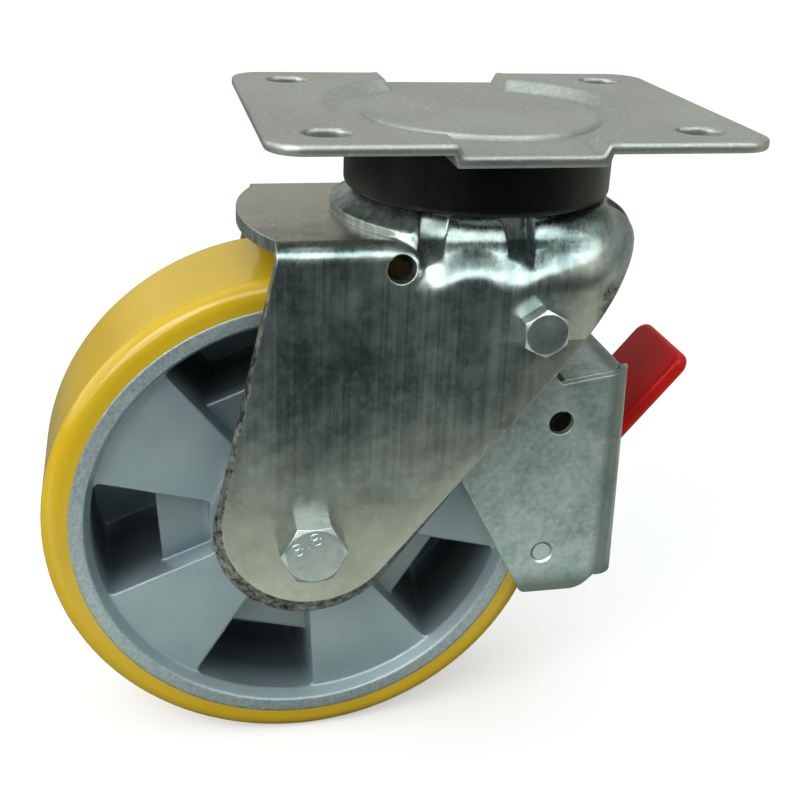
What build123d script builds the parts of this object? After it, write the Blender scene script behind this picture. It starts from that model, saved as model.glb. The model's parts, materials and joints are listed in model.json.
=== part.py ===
from build123d import *
import math
import os

# Swivel castor with a pressed fork, a cast wheel with a bonded tread and a foot brake.
# Millimetres. The origin is the centre of the top plate's upper face, which lies at z = 0.
# +Z points up, the swivel axis is Z, the wheel trails towards -X and the pedal points to +X.

# ---------------------------------------------------------------- driving dimensions

# Overall layout
swivel_offset = 55.0
wheel_gap = 9.4
wheel_diameter = 160.0
wheel_width = 50.0

# Top plate
plate_length = 140.0
plate_width = 110.0
plate_thickness = 3.0
plate_corner_radius = 10.0
plate_edge_round = 0.9
hole_pitch_x = 105.0
hole_pitch_y = 80.0
slot_width = 11.0
slot_length = 14.0
sunk_depth = 3.2
sunk_radius = 47.5
sunk_ramp = 5.0
channel_width = 41.6
channel_ramp = 1.8
crown_radius = 36.0
crown_rise = 1.3
dimple_radius = 2.2
dimple_depth = 0.6
dimple_spacing = 31.4

# Swivel head
pin_flange_radius = 20.5
pin_flange_thickness = 5.0
pin_radius = 10.0
race_inner_radius = 21.0
race_outer_radius = 35.5
race_rim_gap = 5.0
upper_ball_radius = 4.75
upper_ball_pitch_radius = 28.0
upper_ball_count = 14
lower_ball_radius = 3.0
lower_ball_pitch_radius = 17.5
lower_ball_count = 12
lower_race_outer_radius = 22.5
lower_race_thickness = 3.0
lower_cup_thickness = 3.2
lower_race_gap = 3.4
ball_clearance = 0.08
king_nut_across_flats = 30.0
king_nut_height = 8.0
pin_end_projection = 1.0
seal_race_gap = 3.0
seal_wall = 2.0
seal_lip_gap = 0.5
seal_fit = 0.05

# Fork, pressed from one sheet
sheet = 4.0
fork_inside_width = 67.0
head_top_drop = 24.5
head_shoulder_radius = 12.0
head_front_x = 45.2
head_corner_radius = 20.8
head_rear_x = -20.5
wing_drop = 31.6
wing_bend_radius = 6.0
wing_root_x = 65.5
wing_bulge = 7.5
wing_half_span = 30.0
flange_radius = 44.5
flange_rise = 2.3
flange_slope_width = 7.0
head_bore_radius = 14.0
leg_root_z = -36.0
leg_end_radius = 29.3
leg_end_rise = 3.0
leg_bevel_inset = 1.7
leg_bevel_rise = 4.0
leg_bevel_depth = 2.8
front_cut_back = (25.2, 9.8, -0.8)
front_cut_drop = (46.7, 25.5, 9.5)
dart_width = 7.8
dart_taper = 0.06
dart_depth = 3.3
dart_side_draw = 0.6
dart_tilt = 35.0
side_dart_x = (-22.0, 5.4)
side_dart_turn = (-15.0, 16.0)
corner_dart_angle = 15.0
accessory_hole_radius = 4.25
accessory_hole_x = 30.3
accessory_hole_drop = 38.9

# Brake bracket and its fastener
bracket_sheet = 2.5
bracket_reach = 24.1
bracket_bend_radius = 6.5
bracket_bottom_margin = 14.6
bracket_bottom_start = 6.2
bracket_bottom_end = 13.8
bracket_bottom_round = 9.0
bracket_front_round = 3.0
web_bottom_margin = 10.0
web_lean = 1.65
side_rise = 59.0
side_top_slope = 8.7
side_step = 2.6
side_step_run = 2.4
shoulder_back = 41.2
shoulder_rise = 52.5
bracket_hole_radius = 4.0
bracket_hole_forward = 2.2
bracket_hole_rise = 46.1
slot_side_gap = 3.5
slot_end_gap = 3.0
slot_corner_radius = 4.0
flap_length = 21.0
flap_slit = 0.3
fold_radius = 3.0
brake_bolt_back = 32.8
brake_bolt_drop = 33.6
ear_radius = 11.0
sleeve_radius = 7.0

# Pedal, lever and shoe
pivot_depth = 3.2
pivot_line_angle = -9.2
pedal_angle = 50.8
pedal_travel = 24.0
pedal_reach = 77.0
pedal_width = 34.0
pedal_start = 42.0
pedal_thickness = 5.4
pedal_lower_offset = 4.4
pedal_wall = 1.2
pedal_corner_radius = 5.0
pedal_edge_radius = 2.0
lever_sheet = 3.0
lever_side_gap = 1.2
lever_hub_radius = 8.0
lever_plate_start = 13.5
lever_plate_shoulder = 18.5
lever_tongue_width = 31.0
arm_end_radius = 3.2
heel_link_radius = 5.0
pivot_radius = 3.0
pivot_fit = 0.05
pivot_collar_radius = 5.0
pivot_recess = 1.0
shoe_angle = -16.0
shoe_half_angle = 3.6
shoe_thickness = 6.0
shoe_stop_gap = 0.35
shoe_width = 40.0
shoe_rivet_radius = 1.6
shoe_rivet_y = 12.0

# Wheel
tread_thickness = 8.0
tread_shoulder_radius = 5.0
rim_lip = 4.4
rim_recess = 4.0
rim_wall = 6.5
web_half_width = 21.0
web_plate = 4.0
web_wall = 4.5
spoke_count = 5
spoke_angle = 147.5
hub_length = 60.0
hub_radius = 29.0
collar_flat = 45.0
collar_half_width = 14.0
pocket_corner_radius = 2.0
pocket_land = 0.5

# Wheel bearings and axle
bearing_outer_radius = 23.5
bearing_inner_radius = 10.0
bearing_width = 14.0
bearing_recess = 1.0
bearing_gap = 5.5
bearing_ball_radius = 3.97
bearing_ball_count = 8
bearing_seal_thickness = 1.0
axle_tube_clearance = 0.05

# Threaded fasteners: shank radius, width across flats, head height, nut height
axle_shank_radius = 6.0
axle_flats = 18.0
axle_head_height = 8.0
axle_nut_height = 12.0
brake_shank_radius = 4.0
brake_flats = 13.0
brake_head_height = 5.3
brake_nut_height = 8.0
brake_hex_turn = 33.0
hole_clearance = 0.25
washer_thickness = 2.0
thread_projection = 3.0

# ---------------------------------------------------------------- derived places

wheel_radius = wheel_diameter / 2
axle_x = -swivel_offset
wing_z = -wing_drop
axle_z = wing_z - sheet - wheel_gap - wheel_radius
total_height = wheel_radius - axle_z
leg_inner = fork_inside_width / 2
leg_outer = leg_inner + sheet
sunk_z = -sunk_depth
sunk_under_z = sunk_z - plate_thickness
crown_under_z = sunk_under_z + crown_rise
head_top_z = -head_top_drop
head_under_z = head_top_z - sheet
seal_inner_radius = race_outer_radius + seal_race_gap
seal_outer_radius = seal_inner_radius + seal_wall
upper_ball_z = (sunk_under_z + head_top_z) / 2
lower_ball_z = head_under_z - lower_race_thickness - lower_race_gap / 2
lower_cup_top_z = lower_ball_z - lower_race_gap / 2
lower_cup_under_z = lower_cup_top_z - lower_cup_thickness
front_cut = [(head_front_x - back, head_top_z - drop) for back, drop in zip(front_cut_back, front_cut_drop)]
bracket_outer = leg_inner
bracket_inner = bracket_outer - bracket_sheet
brake_bolt_x = head_front_x - brake_bolt_back
brake_bolt_z = head_top_z - brake_bolt_drop
pivot_x = axle_x + (wheel_radius - pivot_depth) * math.cos(math.radians(pivot_line_angle))
pivot_z = axle_z + (wheel_radius - pivot_depth) * math.sin(math.radians(pivot_line_angle))
pivot = (pivot_x, pivot_z)
bracket_back_x = pivot_x + bracket_reach
bracket_notch_x = brake_bolt_x + ear_radius - 1.2
bracket_top_z = pivot_z + side_rise + (bracket_back_x - bracket_notch_x) * math.tan(math.radians(side_top_slope))
web_low_z = pivot_z - web_bottom_margin
lever_outer = bracket_inner - lever_side_gap
lever_inner = lever_outer - lever_sheet
rim_radius = wheel_radius - tread_thickness
tongue_top = pedal_thickness - pedal_lower_offset - pedal_wall
tongue_low = pedal_wall - pedal_lower_offset
bearing_face = hub_length / 2 - bearing_recess
bearing_pitch_radius = (bearing_outer_radius + bearing_inner_radius) / 2
outer_ring_bore = bearing_pitch_radius + bearing_gap / 2
inner_ring_outside = bearing_pitch_radius - bearing_gap / 2


# ---------------------------------------------------------------- shared helpers

def face_of(points):
    """Flat face bounded by straight lines through the given points."""
    return make_face(Polyline(*points, close=True))


def y_prism(face, y_low, y_high):
    """Face drawn in (x, z), pushed out from y_low to y_high."""
    return Pos(0, y_high, 0) * extrude(Plane.XZ * face, amount=y_high - y_low)


def z_turned(points):
    """Solid of revolution about Z from a closed outline of (radius, z) points."""
    return revolve(Plane.XZ * face_of(points), Axis.Z)


def z_ring(inner_radius, outer_radius, z_low, z_high):
    """Plain ring about Z."""
    corners = [(inner_radius, z_low), (outer_radius, z_low), (outer_radius, z_high), (inner_radius, z_high)]
    return z_turned(corners)


def z_rod(radius, z_low, z_high):
    """Plain round bar about Z."""
    return Pos(0, 0, (z_low + z_high) / 2) * Cylinder(radius, z_high - z_low)


def along_y(part, x, z):
    """Part built about Z, laid along Y: its z becomes y, and its axis passes through (x, z)."""
    return Pos(x, 0, z) * Rot(-90, 0, 0) * part


def on_axle(part):
    """Part built about Z, laid on the wheel axle."""
    return along_y(part, axle_x, axle_z)


def y_rod(x, z, radius, y_low, y_high):
    """Round bar along Y."""
    return along_y(z_rod(radius, y_low, y_high), x, z)


def facet_ball(radius):
    """Ball drawn with flat facets, its corners on the true sphere and its poles on Z."""
    rings = []
    for height, width in ((-1, 0.15), (-0.707, 0.707), (0, 1), (0.707, 0.707), (1, 0.15)):
        corners = [math.radians(60 * i) for i in range(6)]
        rings.append([(radius * width * math.cos(a), radius * width * math.sin(a), radius * height) for a in corners])
    faces = [Face(Wire.make_polygon(rings[0])), Face(Wire.make_polygon(rings[-1]))]
    for lower, upper in zip(rings, rings[1:]):
        for i in range(6):
            corners = (lower[i], lower[i - 1], upper[i - 1], upper[i])
            faces.append(Face(Wire.make_polygon(corners)))
    return Solid(Shell(faces))


def ball_row(count, pitch_radius, ball_radius, z):
    """Ring of separate balls about Z."""
    step = 360 / count
    ball = facet_ball(ball_radius)
    return [Pos(0, 0, z) * Rot(0, 0, step * i) * Pos(pitch_radius, 0, 0) * ball for i in range(count)]


def ball_groove(pitch_radius, ball_radius, z):
    """Eight-sided groove that a row of balls runs in, with its clearance."""
    section = RegularPolygon(ball_radius + ball_clearance, 8, major_radius=False, rotation=22.5)
    return revolve(Plane.XZ * Pos(pitch_radius, z) * section, Axis.Z)


def hex_block(flats, height, turn, chamfered_ends):
    """Hexagon prism about Z from z = 0 up, its corners cut by a 30 degree cone at one or both ends."""
    corner_radius = flats / math.sqrt(3)
    cone_radius = 0.475 * flats
    drop = (corner_radius - cone_radius) * math.tan(math.radians(30))
    outline = [(0, 0), (corner_radius, 0), (corner_radius, height - drop), (cone_radius, height), (0, height)]
    if chamfered_ends == 2:
        outline[1:2] = [(cone_radius, 0), (corner_radius, drop)]
    prism = extrude(Rot(0, 0, turn) * RegularPolygon(corner_radius, 6), amount=height)
    return prism & z_turned(outline)


def hex_bolt(shank_radius, flats, head_height, length, turn):
    """Hexagon bolt about Z: head below z = 0, shank from z = 0 up to length, with a chamfered end."""
    head = Rot(180, 0, 0) * hex_block(flats, head_height, turn, 1)
    end_chamfer = 0.2 * shank_radius
    shank = z_turned([
        (0, -0.5), (shank_radius, -0.5), (shank_radius, length - end_chamfer),
        (shank_radius - end_chamfer, length), (0, length)])
    return head + shank


def lock_nut(shank_radius, flats, height, turn):
    """Self-locking nut about Z from z = 0 up: a hexagon with a round collar for its locking insert."""
    hexagon_height = 0.7 * height
    collar_radius = 0.46 * flats
    edge = 0.12 * height
    collar = z_turned([
        (0, 0), (collar_radius, 0), (collar_radius, height - edge), (collar_radius - edge, height), (0, height)])
    body = hex_block(flats, hexagon_height, turn, 2) + collar
    return body - z_rod(shank_radius + 0.02, -1, height + 1)


def turned_in_xz(point, centre, degrees):
    """Point (x, z) turned about centre; positive turns from +X towards +Z."""
    angle = math.radians(degrees)
    dx = point[0] - centre[0]
    dz = point[1] - centre[1]
    x = centre[0] + dx * math.cos(angle) - dz * math.sin(angle)
    z = centre[1] + dx * math.sin(angle) + dz * math.cos(angle)
    return (x, z)


def tangent_point(point, centre, radius, side):
    """Where a line from point touches a circle, with side +1 or -1 choosing the touching line."""
    dx = point[0] - centre[0]
    dz = point[1] - centre[1]
    distance = math.hypot(dx, dz)
    angle = math.atan2(dz, dx) + side * math.acos(radius / distance)
    return (centre[0] + radius * math.cos(angle), centre[1] + radius * math.sin(angle))


# ---------------------------------------------------------------- top plate

def sunk_area(depth, grow):
    """Block below z = 0 that the press pushes down: a round dish crossed by a channel to both edges."""
    dish_floor_radius = sunk_radius - sunk_ramp + grow
    dish_mouth_radius = sunk_radius + grow
    dish = z_turned([(0, 0), (dish_mouth_radius, 0), (dish_floor_radius, -depth), (0, -depth)])
    mouth_half = channel_width / 2 + grow
    floor_half = mouth_half - channel_ramp
    channel_face = face_of([(-mouth_half, 0), (mouth_half, 0), (floor_half, -depth), (-floor_half, -depth)])
    channel = y_prism(channel_face, -plate_width, plate_width)
    return dish + channel


def top_plate():
    """Pressed mounting plate: four slots, a sunk dish and channel, and a low raised crown in the middle."""
    blank = extrude(RectangleRounded(plate_length, plate_width, plate_corner_radius), amount=-plate_thickness)
    blank = fillet(blank.edges().filter_by(Plane.XY), plate_edge_round)
    outline = extrude(
        RectangleRounded(plate_length, plate_width, plate_corner_radius),
        amount=-(sunk_depth + plate_thickness))
    wall = plate_thickness * 0.55
    pushed_out = sunk_area(sunk_depth + plate_thickness, wall) & outline
    removed = sunk_area(sunk_depth, 0)
    plate = blank + pushed_out - removed
    crown_under_radius = crown_radius - plate_thickness
    plate += z_turned([
        (0, sunk_z - 0.5), (crown_radius, sunk_z - 0.5), (crown_radius, sunk_z + 0.5),
        (crown_radius - 0.8, sunk_z + crown_rise), (0, sunk_z + crown_rise)])
    plate -= z_rod(crown_under_radius, sunk_under_z - 1, crown_under_z)
    for x_side in (-1, 1):
        dimple_z = sunk_z + crown_rise + dimple_radius - dimple_depth
        plate -= Pos(x_side * dimple_spacing / 2, 3, dimple_z) * Sphere(dimple_radius)
        for y_side in (-1, 1):
            slot = extrude(SlotOverall(slot_length, slot_width), amount=plate_thickness * 2, both=True)
            plate -= Pos(x_side * hole_pitch_x / 2, y_side * hole_pitch_y / 2, 0) * slot
    return plate


# ---------------------------------------------------------------- swivel head

def king_pin():
    """Pin of the swivel: a flange under the crown and a shank down through the bearings."""
    end_z = lower_cup_under_z - king_nut_height - pin_end_projection
    chamfer = 1.0
    return z_turned([
        (0, crown_under_z), (pin_flange_radius, crown_under_z),
        (pin_flange_radius, crown_under_z - pin_flange_thickness),
        (pin_radius, crown_under_z - pin_flange_thickness),
        (pin_radius, end_z + chamfer), (pin_radius - chamfer, end_z), (0, end_z)])


def upper_race():
    """Bearing ring under the plate, with a spigot that fits the hollow under the crown."""
    spigot_radius = crown_radius - plate_thickness - seal_fit
    face_z = upper_ball_z + race_rim_gap / 2
    ring = z_turned([
        (race_inner_radius, crown_under_z), (spigot_radius, crown_under_z), (spigot_radius, sunk_under_z),
        (race_outer_radius, sunk_under_z), (race_outer_radius, face_z), (race_inner_radius, face_z)])
    return ring - ball_groove(upper_ball_pitch_radius, upper_ball_radius, upper_ball_z)


def upper_balls():
    """Main row of balls, between the plate and the fork."""
    return ball_row(upper_ball_count, upper_ball_pitch_radius, upper_ball_radius, upper_ball_z)


def fork_race():
    """Bearing ring seated on the head of the fork."""
    face_z = upper_ball_z - race_rim_gap / 2
    ring = z_ring(race_inner_radius, race_outer_radius, head_top_z, face_z)
    return ring - ball_groove(upper_ball_pitch_radius, upper_ball_radius, upper_ball_z)


def lower_race():
    """Bearing ring seated under the head of the fork."""
    ring = z_ring(head_bore_radius, lower_race_outer_radius, head_under_z - lower_race_thickness, head_under_z)
    return ring - ball_groove(lower_ball_pitch_radius, lower_ball_radius, lower_ball_z)


def lower_balls():
    """Second row of balls, under the fork head."""
    return ball_row(lower_ball_count, lower_ball_pitch_radius, lower_ball_radius, lower_ball_z)


def lower_cup():
    """Cup that the pin nut pulls up against the lower row of balls."""
    bore = pin_radius + seal_fit
    ring = z_ring(bore, lower_race_outer_radius, lower_cup_under_z, lower_cup_top_z)
    return ring - ball_groove(lower_ball_pitch_radius, lower_ball_radius, lower_ball_z)


def king_nut():
    """Nut on the end of the swivel pin."""
    nut = hex_block(king_nut_across_flats, king_nut_height, 0, 2) - z_rod(pin_radius + 0.02, -1, king_nut_height + 1)
    return Pos(0, 0, lower_cup_under_z - king_nut_height) * nut


def seal_ring():
    """Dust cap round the main bearing, fixed under the plate, with a small gap above the fork."""
    lower_z = head_top_z + seal_lip_gap
    inner_radius = seal_inner_radius
    lip_round = 0.9
    return z_turned([
        (inner_radius, sunk_under_z), (seal_outer_radius, sunk_under_z),
        (seal_outer_radius, lower_z + lip_round * 1.6), (seal_outer_radius - lip_round * 0.35, lower_z + lip_round * 0.5),
        (seal_outer_radius - lip_round, lower_z), (inner_radius, lower_z)])


# ---------------------------------------------------------------- fork

def fork_skin(inset):
    """Solid inside the pressed sheet's outer surface, moved inwards by inset."""
    half_width = leg_outer - inset
    top_z = head_top_z - inset
    front_x = head_front_x - inset
    rear_x = -wheel_diameter
    low_z = -total_height
    dome = Pos((front_x + rear_x) / 2, 0, (top_z + low_z) / 2) * Box(front_x - rear_x, 2 * half_width, top_z - low_z)
    front_edges = dome.edges().filter_by(Axis.Z).group_by(Axis.X)[-1]
    dome = fillet(front_edges, head_corner_radius - inset)
    top_edges = dome.edges().group_by(Axis.Z)[-1].sort_by(Axis.X)[1:]
    dome = fillet(top_edges, head_shoulder_radius - inset)
    wing_top = wing_z - inset
    wing = Pos(rear_x / 2, 0, (wing_top + low_z) / 2) * Box(-rear_x, 2 * half_width, wing_top - low_z)
    wing_edges = wing.edges().filter_by(Axis.X).group_by(Axis.Z)[-1]
    wing = fillet(wing_edges, wing_bend_radius - inset)
    slope_height = head_top_z - wing_z - flange_rise
    slope_length = math.hypot(slope_height, flange_slope_width)
    lip_radius = flange_radius - inset
    shift_radius = flange_radius - inset * slope_height / slope_length
    shift_z = wing_z + flange_rise - inset * flange_slope_width / slope_length
    lip_z = shift_z + (shift_radius - lip_radius) * slope_height / flange_slope_width
    rim_radius_on_top = shift_radius - (top_z - shift_z) * flange_slope_width / slope_height
    boss_low_z = wing_top - 2 * sheet
    boss = z_turned([
        (0, boss_low_z), (lip_radius, boss_low_z), (lip_radius, lip_z), (rim_radius_on_top, top_z), (0, top_z)])
    front_start = head_rear_x + inset
    zone_length = 2 * head_front_x - front_start
    front_zone = Pos(front_start + zone_length / 2, 0, low_z / 2) * Box(zone_length, 3 * half_width, -2 * low_z)
    return wing + (dome & (front_zone + boss))


def dart(inset):
    """Bar that presses one dart into the shoulder, drawn at the origin with the wall at x = 0."""
    length = 2 * head_shoulder_radius
    half = dart_width / 2 + dart_side_draw * inset
    top_half = half + dart_taper * length
    low_half = half - dart_taper * length
    chord = head_shoulder_radius - dart_depth - inset
    face = face_of([(-top_half, length), (top_half, length), (low_half, -length), (-low_half, -length)])
    block = Pos(chord, 0, 0) * extrude(Plane.YZ * face, amount=length)
    return Pos(-head_shoulder_radius, 0, head_top_z - head_shoulder_radius) * Rot(0, -dart_tilt, 0) * block


def darts(inset):
    """All the dart bars, the same on both sides of the fork."""
    bars = []
    for side in (-1, 1):
        for x, turn in zip(side_dart_x, side_dart_turn):
            bars.append(Pos(x, side * leg_outer, 0) * Rot(0, 0, side * (90 - turn)) * dart(inset))
        corner_y = leg_outer - head_corner_radius
        turn = Pos(head_front_x - head_corner_radius, side * corner_y, 0) * Rot(0, 0, side * corner_dart_angle)
        bars.append(turn * Pos(head_corner_radius, 0, 0) * dart(inset))
    return bars


def leg_outline(centre, radius):
    """Side view of the fork as a face in (x, z): straight edges down to a round end about centre."""
    left_root = (-wing_root_x, leg_root_z)
    left_touch = tangent_point(left_root, centre, radius, 1)
    right_touch = tangent_point(front_cut[0], centre, radius, -1)
    lowest = (centre[0], centre[1] - radius)
    beyond = head_front_x + sheet
    edges = [
        Polyline((left_root[0], 0), left_root, left_touch),
        ThreePointArc(left_touch, lowest, right_touch),
        Polyline(right_touch, *front_cut, (beyond, front_cut[-1][1]), (beyond, 0), (left_root[0], 0))]
    return make_face(edges)


def leg_trim():
    """Solid that the bent sheet is trimmed to, with the torn bevel round the outside of the leg ends."""
    true_face = leg_outline((axle_x, axle_z + leg_end_rise), leg_end_radius)
    bevel_centre = (axle_x + 1, axle_z + leg_end_rise + leg_bevel_rise)
    bevel_face = leg_outline(bevel_centre, leg_end_radius - leg_bevel_inset)
    start_y = leg_outer - leg_bevel_depth
    middle = y_prism(true_face, -start_y, start_y)
    low = Pos(0, -start_y, 0) * (Plane.XZ * true_face)
    end = Pos(0, -leg_outer - 0.2, 0) * (Plane.XZ * bevel_face)
    near = loft([low, end], ruled=True)
    return middle + near + mirror(near, Plane.XZ)


def wing_tongue():
    """Plan shape of the wing behind the legs: a flat plate whose end is a shallow arc."""
    end_x = -wing_root_x - wing_bulge
    span = [(0, wing_half_span), (-wing_root_x, wing_half_span)]
    outline = [
        Polyline((0, -wing_half_span), *span),
        ThreePointArc((-wing_root_x, wing_half_span), (end_x, 0), (-wing_root_x, -wing_half_span)),
        Polyline((-wing_root_x, -wing_half_span), (0, -wing_half_span))]
    return Pos(0, 0, leg_root_z - 3) * extrude(make_face(outline), amount=20)


def fork():
    """Pressed fork in one sheet: head, shoulder darts, rear wing and two legs with trimmed edges."""
    outside = fork_skin(0)
    inside = fork_skin(sheet)
    for bar in darts(0):
        outside -= bar
    for bar in darts(sheet):
        inside -= bar
    shell = (outside - inside) & (leg_trim() + wing_tongue())
    shell -= z_rod(head_bore_radius, -total_height, 0)
    through = 3 * leg_outer
    shell -= y_rod(axle_x, axle_z, axle_shank_radius + hole_clearance, -through, through)
    shell -= y_rod(brake_bolt_x, brake_bolt_z, brake_shank_radius + hole_clearance, -through, through)
    shell -= y_rod(-accessory_hole_x, -accessory_hole_drop, accessory_hole_radius, -through, through)
    return shell


# ---------------------------------------------------------------- brake bracket and its bolt

def bracket_top_line(x):
    """Height of the side plates' top edge, and of the flap between them, at x."""
    return bracket_top_z - (bracket_back_x - x) * math.tan(math.radians(side_top_slope))


def bracket_side_face():
    """Side view of the bracket as a face in (x, z): the ear round the bolt and the plate below it."""
    ear_centre = (brake_bolt_x, brake_bolt_z)
    bottom_z = pivot_z - bracket_bottom_margin
    bottom_start = (pivot_x - bracket_bottom_start, bottom_z)
    bottom_end = (pivot_x + bracket_bottom_end, bottom_z)
    back = bracket_back_x + 4
    left_top = (pivot_x - shoulder_back, pivot_z + shoulder_rise)
    notch = (bracket_notch_x, bracket_top_line(bracket_notch_x))
    right_top = (notch[0] - side_step_run, notch[1] + side_step)
    left_touch = tangent_point(left_top, ear_centre, ear_radius, -1)
    right_touch = tangent_point(right_top, ear_centre, ear_radius, 1)
    outline = [
        ThreePointArc(left_touch, (ear_centre[0], ear_centre[1] + ear_radius), right_touch),
        Polyline(
            right_touch, right_top, notch, (back, bracket_top_line(back)),
            (back, web_low_z), (bottom_end[0] + web_low_z - bottom_z, web_low_z), bottom_end,
            bottom_start, left_top, left_touch)]
    face = make_face(outline)
    face = fillet(face.vertices().sort_by_distance(bottom_end)[0], bracket_bottom_round)
    return fillet(face.vertices().sort_by_distance(bottom_start)[0], bracket_front_round)


def bracket_channel(inset):
    """Block with rounded back corners, moved inwards by inset; its back leans out towards the bottom."""
    half_width = bracket_outer - inset
    length = bracket_back_x - axle_x
    block = Pos(-length / 2, 0, 0) * Box(length, 2 * half_width, 2 * total_height)
    back_edges = block.edges().filter_by(Axis.Z).group_by(Axis.X)[-1]
    block = fillet(back_edges, bracket_bend_radius - inset)
    return Pos(bracket_back_x - inset, 0, bracket_top_z) * Rot(0, -web_lean, 0) * block


def lever_crossing(degrees, height, at_x):
    """Height z at which a line of the lever, height above the pivot line, crosses x when set at degrees."""
    angle = math.radians(degrees)
    along = (at_x - pivot_x + height * math.sin(angle)) / math.cos(angle)
    return pivot_z + along * math.sin(angle) + height * math.cos(angle)


def web_slot():
    """Cutter for the web's window, from the lever's place at rest to its place when pressed."""
    top_z = lever_crossing(pedal_angle, tongue_top, bracket_back_x) + slot_end_gap
    low_z = lever_crossing(pedal_angle - pedal_travel, tongue_low, bracket_back_x - bracket_sheet) - slot_end_gap
    width = lever_tongue_width + 2 * slot_side_gap
    face = Plane.YZ * RectangleRounded(width, top_z - low_z, slot_corner_radius)
    return Pos(bracket_back_x - 2 * bracket_sheet, 0, (top_z + low_z) / 2) * extrude(face, amount=4 * bracket_sheet)


def top_flap():
    """Flap folded forwards from the top of the web, level with the side plates and a slit away from them."""
    drop = 2 * fold_radius
    lean = drop * math.tan(math.radians(web_lean))
    start_x = bracket_back_x - flap_length
    inner_x = bracket_back_x - bracket_sheet
    corner = (bracket_back_x, bracket_top_z)
    outline = face_of([
        (start_x, bracket_top_line(start_x)), corner, (bracket_back_x + lean, bracket_top_z - drop),
        (inner_x + lean, bracket_top_z - drop), (inner_x, bracket_top_line(inner_x) - bracket_sheet),
        (start_x, bracket_top_line(start_x) - bracket_sheet)])
    outline = fillet(outline.vertices().sort_by_distance(corner)[0], fold_radius)
    flap = y_prism(outline, -bracket_outer, bracket_outer)
    fold_half = bracket_outer - bracket_bend_radius
    fold_zone = Pos(bracket_back_x, 0, bracket_top_z) * Box(4 * drop, 2 * fold_half, 4 * drop)
    return flap & (bracket_channel(bracket_sheet + flap_slit) + fold_zone)


def brake_bracket():
    """Bent bracket for the brake: two side plates, a back web with the pedal's slot, and a top flap."""
    sides = y_prism(bracket_side_face(), -bracket_outer - 1, bracket_outer + 1)
    bracket = (bracket_channel(0) - bracket_channel(bracket_sheet)) & sides
    fold_half = bracket_outer - bracket_bend_radius
    corner = Pos(bracket_back_x, 0, bracket_top_z) * Box(2 * fold_radius, 2 * fold_half, 2 * fold_radius)
    bracket = bracket - corner + top_flap() - web_slot()
    through = 2 * bracket_outer
    hole_x = pivot_x + bracket_hole_forward
    bracket -= y_rod(brake_bolt_x, brake_bolt_z, brake_shank_radius + hole_clearance, -through, through)
    bracket -= y_rod(hole_x, pivot_z + bracket_hole_rise, bracket_hole_radius, -through, through)
    bracket -= y_rod(pivot_x, pivot_z, pivot_radius + 0.02, -through, through)
    recess = z_turned([
        (0, bracket_outer - pivot_recess), (pivot_radius, bracket_outer - pivot_recess),
        (pivot_radius + pivot_recess, bracket_outer), (0, bracket_outer)])
    for side in (-1, 1):
        bracket -= along_y(recess if side > 0 else mirror(recess, Plane.XY), pivot_x, pivot_z)
    return bracket


def brake_sleeve():
    """Tube round the bracket bolt that keeps the two side plates apart."""
    tube = z_ring(brake_shank_radius + 0.1, sleeve_radius, -bracket_inner, bracket_inner)
    return along_y(tube, brake_bolt_x, brake_bolt_z)


def brake_bolt():
    """Bolt through both legs, the bracket and its sleeve."""
    length = 2 * leg_outer + washer_thickness + brake_nut_height + thread_projection
    bolt = hex_bolt(brake_shank_radius, brake_flats, brake_head_height, length, brake_hex_turn)
    return along_y(Pos(0, 0, -leg_outer) * bolt, brake_bolt_x, brake_bolt_z)


def brake_washer():
    """Washer under the nut of the bracket bolt."""
    ring = z_ring(brake_shank_radius + 0.1, 1.9 * brake_shank_radius, leg_outer, leg_outer + washer_thickness)
    return along_y(ring, brake_bolt_x, brake_bolt_z)


def brake_nut():
    """Self-locking nut of the bracket bolt."""
    nut = lock_nut(brake_shank_radius, brake_flats, brake_nut_height, 10)
    return along_y(Pos(0, 0, leg_outer + washer_thickness) * nut, brake_bolt_x, brake_bolt_z)


def pivot_pins():
    """Two pins, fixed in the side plates, that the lever turns on; a collar keeps each arm off its plate."""
    end_y = bracket_outer - pivot_recess / 2
    tip_y = lever_inner
    pin = z_rod(pivot_radius, tip_y, end_y)
    pin += z_rod(pivot_collar_radius, lever_outer + 0.05, bracket_inner)
    right = along_y(pin, pivot_x, pivot_z)
    return [right, mirror(right, Plane.XZ)]


# ---------------------------------------------------------------- pedal, lever and shoe

def pedal_frame(part):
    """Part drawn along X from the pivot, with z as its height above the pivot line, set at the rest angle."""
    return Pos(pivot_x, 0, pivot_z) * Rot(0, -pedal_angle, 0) * part


def link_face(first, second, first_radius, second_radius):
    """Face in (x, z) wrapped round two circles."""
    circles = [
        Pos(first[0], first[1]) * Edge.make_circle(first_radius),
        Pos(second[0], second[1]) * Edge.make_circle(second_radius)]
    return make_hull(circles)


def shoe_block(inner_radius, outer_radius, half_angle, half_width):
    """Block between two radii about the axle at the braking angle, turned back to the lever's rest position."""
    points = []
    for radius, sign in ((inner_radius, -1), (inner_radius, 0), (inner_radius, 1), (outer_radius, 1), (outer_radius, -1)):
        angle = math.radians(shoe_angle + sign * half_angle)
        at = (axle_x + radius * math.cos(angle), axle_z + radius * math.sin(angle))
        points.append(turned_in_xz(at, pivot, pedal_travel))
    inner = ThreePointArc(points[0], points[1], points[2])
    outline = [inner, Polyline(points[2], points[3], points[4], points[0])]
    return y_prism(make_face(outline), -half_width, half_width)


def heel_centre():
    """Middle of the plate that carries the shoe, in the lever's rest position, as (x, z)."""
    radius = wheel_radius + shoe_stop_gap + shoe_thickness + lever_sheet / 2
    angle = math.radians(shoe_angle)
    at = (axle_x + radius * math.cos(angle), axle_z + radius * math.sin(angle))
    return turned_in_xz(at, pivot, pedal_travel)


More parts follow.
